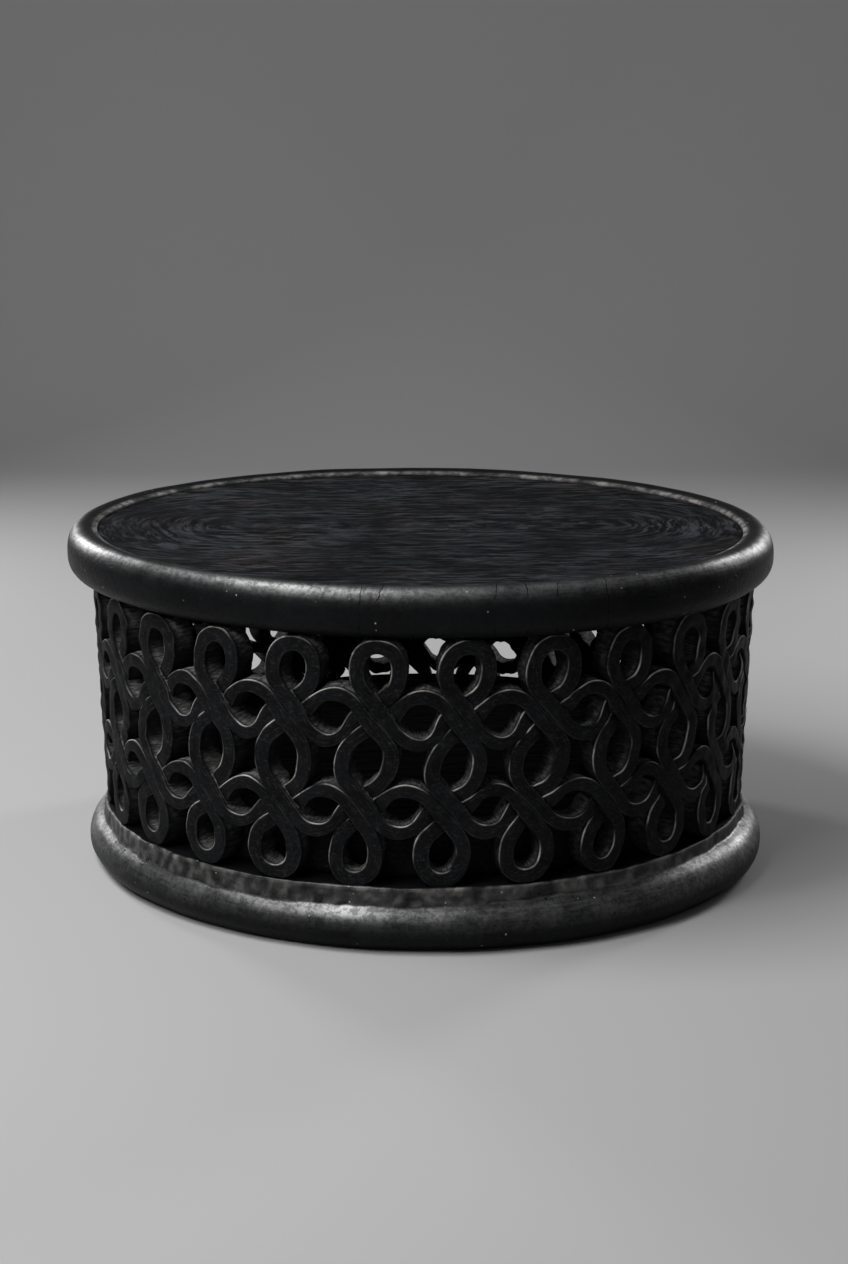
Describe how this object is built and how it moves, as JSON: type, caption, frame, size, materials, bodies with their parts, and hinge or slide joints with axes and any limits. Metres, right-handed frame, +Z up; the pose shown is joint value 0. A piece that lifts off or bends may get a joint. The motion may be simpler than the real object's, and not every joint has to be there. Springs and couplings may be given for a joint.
{
  "type": "drum table",
  "caption": "Low drum table of dark carved wood: dished oval top with a rolled rim, pierced wall of interlaced strands, and a rolled base ring.",
  "frame": {"origin": "on the floor under the middle of the table, at the centre of the box round it", "axes": "+Z is up; +Y points away from the front that the picture shows, and +X to its right"},
  "size_m": [0.8761, 0.8522, 0.42],
  "materials": {
    "dish_wood": "blackened wood, rubbed matt, with fine grain lines",
    "rim_lacquer": "blackened wood, waxed to a soft gloss over hand-planed facets",
    "carved_wall": "blackened wood, matt, with chisel marks and worn edges",
    "base_lacquer": "blackened wood, waxed to a soft gloss over broad facets"
  },
  "bodies": {
    "root": {"top_panel": "dish_wood", "top_rim": "rim_lacquer", "upper_strand": "carved_wall", "lower_strand": "carved_wall", "ring_01": "carved_wall", "ring_02": "carved_wall", "ring_03": "carved_wall", "ring_04": "carved_wall", "ring_05": "carved_wall", "ring_06": "carved_wall", "ring_07": "carved_wall", "ring_08": "carved_wall", "ring_09": "carved_wall", "ring_10": "carved_wall", "ring_11": "carved_wall", "ring_12": "carved_wall", "ring_13": "carved_wall", "ring_14": "carved_wall", "ring_15": "carved_wall", "ring_16": "carved_wall", "ring_17": "carved_wall", "ring_18": "carved_wall", "ring_19": "carved_wall", "ring_20": "carved_wall", "ring_21": "carved_wall", "ring_22": "carved_wall", "ring_23": "carved_wall", "ring_24": "carved_wall", "ring_25": "carved_wall", "ring_26": "carved_wall", "drum_floor": "carved_wall", "base_ring": "base_lacquer"}
  },
  "joints": []
}
